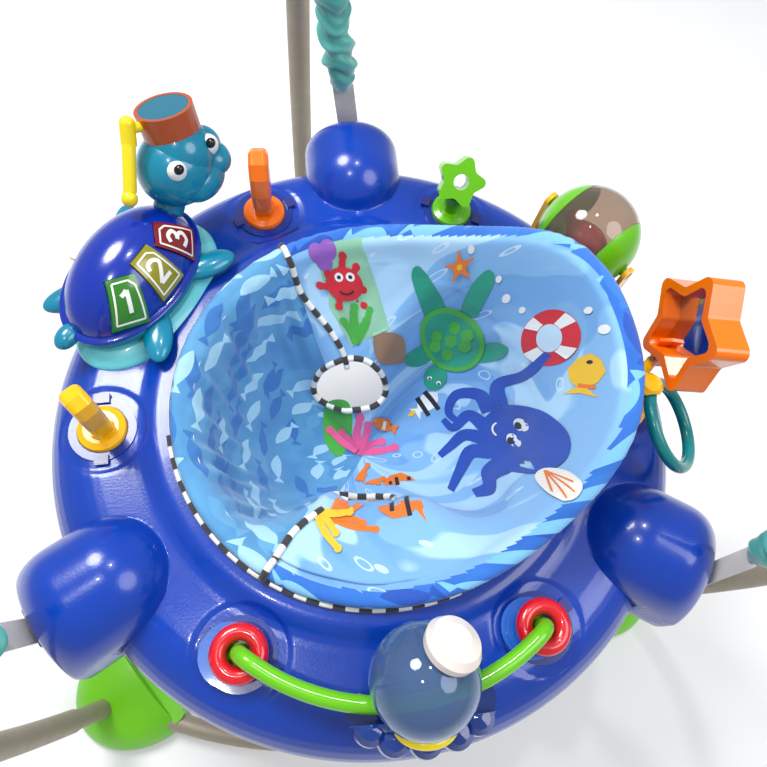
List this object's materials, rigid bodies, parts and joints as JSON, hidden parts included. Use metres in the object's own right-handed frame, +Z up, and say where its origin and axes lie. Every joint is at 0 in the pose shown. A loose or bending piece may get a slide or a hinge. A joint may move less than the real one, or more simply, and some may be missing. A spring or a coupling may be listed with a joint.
{
  "type": "activity jumper",
  "caption": "Baby activity jumper: a ring-shaped toy tray with a turning padded seat hangs on sprung straps from a legged floor stand.",
  "frame": {"origin": "on the floor, in the middle of the whole footprint", "axes": "+Z up, +Y towards the post that carries the back strap tower, +X to the seat's high back"},
  "size_m": [0.8874, 0.8604, 0.809],
  "materials": {
    "foot_green": "satin moulded plastic",
    "pad_rubber": "soft rubber",
    "frame_tube": "powder-coated steel tube",
    "button_steel": "plated steel",
    "cap_blue": "moulded plastic",
    "tray_blue": "glossy moulded plastic",
    "tray_under": "plain moulded plastic",
    "track_white": "slippery moulded plastic",
    "socket_blue": "moulded plastic",
    "clip_navy": "moulded plastic",
    "webbing": "woven polyester webbing",
    "spring_steel": "zinc-plated spring steel",
    "cover_teal": "gathered satin sleeve",
    "roller_grey": "slippery moulded plastic",
    "seat_print": "padded printed polyester",
    "orange": "glossy moulded plastic",
    "yellow": "glossy moulded plastic",
    "green": "glossy moulded plastic",
    "smoke_clear": "clear tinted plastic",
    "fish_red": "moulded plastic",
    "mount_mixed": "moulded plastic in green, yellow and teal",
    "mirror_film": "plastic mirror",
    "teal": "moulded plastic",
    "bead_red": "glossy moulded plastic",
    "disc_blue": "moulded plastic",
    "octo_clear": "clear tinted plastic",
    "octo_blue": "translucent blue plastic",
    "hat_white": "moulded plastic",
    "aqua": "moulded plastic",
    "shell_blue": "glossy moulded plastic",
    "turtle_teal": "glossy moulded plastic",
    "goggle_brown": "moulded plastic",
    "lens_teal": "moulded plastic",
    "snorkel_yellow": "moulded plastic",
    "key_green": "translucent plastic",
    "key_olive": "translucent plastic",
    "key_red": "translucent plastic",
    "board_green": "circuit board",
    "speaker_black": "paper cone in a steel basket",
    "cell_metal": "steel can with plastic wrap"
  },
  "bodies": {
    "stand": {"feet": "foot_green", "foot_pads": "pad_rubber", "base_tubes": "frame_tube", "lower_posts": "frame_tube", "upper_posts": "frame_tube", "snap_buttons": "button_steel", "post_caps": "cap_blue", "hanging_rings": "button_steel"},
    "tray": {"tray_shell": "tray_blue", "tray_underside": "tray_under", "tray_screws": "button_steel", "seat_track": "track_white", "toy_sockets": "socket_blue", "socket_clips": "clip_navy", "strap_brackets": "clip_navy", "strap_webbing": "webbing", "strap_adjusters": "track_white", "springs": "spring_steel", "spring_covers": "cover_teal", "ball_yoke": "yellow", "mirror_post": "mount_mixed", "bead_tube": "green", "bead_bases": "green", "turtle_base": "aqua", "turtle_shell": "shell_blue", "turtle_body": "turtle_teal", "turtle_head": "turtle_teal", "goggles": "goggle_brown", "goggle_lens": "lens_teal", "snorkel": "snorkel_yellow", "sound_board": "board_green", "speaker": "speaker_black", "battery_cells": "cell_metal", "battery_case": "clip_navy", "battery_door": "tray_under"},
    "seat": {"seat_ring": "track_white", "seat_rollers": "roller_grey", "seat_fabric": "seat_print", "seat_snaps": "track_white"},
    "orange_toy": {"orange_paddle": "orange"},
    "yellow_toy": {"yellow_paddle": "yellow"},
    "star": {"star_toy": "green"},
    "ball": {"ball_window": "smoke_clear", "ball_caps": "green", "ball_fish": "fish_red"},
    "mirror": {"mirror_frame": "orange", "mirror_glass": "mirror_film"},
    "ring": {"teal_ring": "teal"},
    "left_beads": {"red_bead_left": "bead_red", "bead_discs_left": "disc_blue"},
    "right_beads": {"red_bead_right": "bead_red", "bead_discs_right": "disc_blue"},
    "octopus": {"octopus_head": "octo_clear", "octopus_legs": "octo_blue", "octopus_hat": "hat_white", "octopus_collar": "yellow"},
    "key_one": {"button_one": "key_green"},
    "key_two": {"button_two": "key_olive"},
    "key_three": {"button_three": "key_red"},
    "slider": {"volume_slider": "hat_white"}
  },
  "joints": [
    {"name": "bounce", "type": "slide", "parent": "stand", "child": "tray", "axis": [0, 0, 1], "range_m": [-0.1, 0.03], "stiffness_N_per_m": 1500, "springref_m": 0.0412, "deforming": ["strap_webbing", "springs", "spring_covers"]},
    {"name": "seat_turn", "type": "hinge", "parent": "tray", "child": "seat", "pos_m": [-0.02606, -0.07054, 0.415], "axis": [0, 0, 1], "continuous": true},
    {"name": "orange_turn", "type": "hinge", "parent": "tray", "child": "orange_toy", "pos_m": [-0.13466, 0.17338, 0.455], "axis": [0, 0, 1], "continuous": true},
    {"name": "yellow_turn", "type": "hinge", "parent": "tray", "child": "yellow_toy", "pos_m": [-0.29569, -0.08467, 0.455], "axis": [0, 0, 1], "continuous": true},
    {"name": "star_turn", "type": "hinge", "parent": "tray", "child": "star", "pos_m": [0.0872, 0.17235, 0.455], "axis": [0, 0, 1], "continuous": true},
    {"name": "ball_spin", "type": "hinge", "parent": "tray", "child": "ball", "pos_m": [0.21632, 0.08686, 0.521], "axis": [-0.5446, 0.8387, 0], "continuous": true},
    {"name": "mirror_tilt", "type": "hinge", "parent": "tray", "child": "mirror", "pos_m": [0.27642, -0.04558, 0.493], "axis": [0.0698, 0.9976, 0], "range_deg": [-10, 15]},
    {"name": "ring_swing", "type": "hinge", "parent": "tray", "child": "ring", "pos_m": [0.23876, -0.11913, 0.5166], "axis": [0.0698, 0.9976, 0], "range_deg": [-5, 4]},
    {"name": "left_bead_turn", "type": "hinge", "parent": "tray", "child": "left_beads", "pos_m": [-0.16208, -0.30146, 0.47], "axis": [0, 0, 1], "continuous": true},
    {"name": "right_bead_turn", "type": "hinge", "parent": "tray", "child": "right_beads", "pos_m": [0.10996, -0.30146, 0.47], "axis": [0, 0, 1], "continuous": true},
    {"name": "octopus_tip", "type": "hinge", "parent": "tray", "child": "octopus", "pos_m": [-0.00906, -0.35146, 0.491], "axis": [0.9966, 0.0828, 0], "range_deg": [0, 20], "stiffness_Nm_per_rad": 0.15, "springref_deg": -5.73},
    {"name": "press_one", "type": "slide", "parent": "tray", "child": "key_one", "axis": [-0.5334, 0.3205, -0.7828], "range_m": [0, 0.0025], "stiffness_N_per_m": 400, "springref_m": -0.0005},
    {"name": "press_two", "type": "slide", "parent": "tray", "child": "key_two", "axis": [-0.5334, 0.3205, -0.7828], "range_m": [0, 0.0025], "stiffness_N_per_m": 400, "springref_m": -0.0005},
    {"name": "press_three", "type": "slide", "parent": "tray", "child": "key_three", "axis": [-0.5334, 0.3205, -0.7828], "range_m": [0, 0.0025], "stiffness_N_per_m": 400, "springref_m": -0.0005},
    {"name": "volume_slide", "type": "slide", "parent": "tray", "child": "slider", "axis": [-0.515, -0.8572, 0], "range_m": [-0.004, 0.004]}
  ]
}
